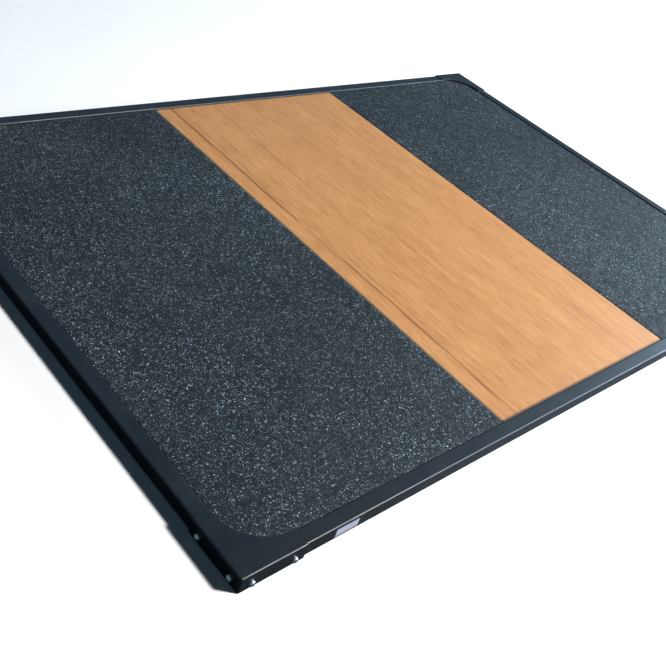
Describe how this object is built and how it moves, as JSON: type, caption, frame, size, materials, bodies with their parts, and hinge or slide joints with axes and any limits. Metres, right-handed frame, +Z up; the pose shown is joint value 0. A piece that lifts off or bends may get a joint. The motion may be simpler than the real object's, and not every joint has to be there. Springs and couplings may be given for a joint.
{
  "type": "weightlifting platform",
  "caption": "Low rectangular lifting platform: steel tube frame with bolted corner brackets, flecked rubber side strips and a wood centre strip.",
  "frame": {"origin": "on the floor under the platform's centre", "axes": "+X along the long front rail, +Y from front to back, +Z up"},
  "size_m": [3.123, 2.123, 0.054],
  "materials": {
    "frame_coating": "satin black powder coat",
    "zinc_plate": "bright zinc plate",
    "plain_steel": "mill finish",
    "base_plywood": "unfinished plywood",
    "flecked_rubber": "matt granulate with pale flecks",
    "underlay_rubber": "matt granulate",
    "deck_wood": "satin varnish, straight grain front to back",
    "label_film": "blank printed film"
  },
  "bodies": {
    "root": {"front_rail": "frame_coating", "back_rail": "frame_coating", "left_rail": "frame_coating", "right_rail": "frame_coating", "front_left_corner_bracket": "frame_coating", "front_left_bolts": "zinc_plate", "front_left_washers": "zinc_plate", "front_left_nut_bars": "plain_steel", "front_right_corner_bracket": "frame_coating", "front_right_bolts": "zinc_plate", "front_right_washers": "zinc_plate", "front_right_nut_bars": "plain_steel", "back_left_corner_bracket": "frame_coating", "back_left_bolts": "zinc_plate", "back_left_washers": "zinc_plate", "back_left_nut_bars": "plain_steel", "back_right_corner_bracket": "frame_coating", "back_right_bolts": "zinc_plate", "back_right_washers": "zinc_plate", "back_right_nut_bars": "plain_steel", "left_base_board": "base_plywood", "left_rubber_mat": "flecked_rubber", "right_base_board": "base_plywood", "right_rubber_mat": "flecked_rubber", "deck_underlay": "underlay_rubber", "wood_deck": "deck_wood", "blank_label": "label_film"}
  },
  "joints": []
}
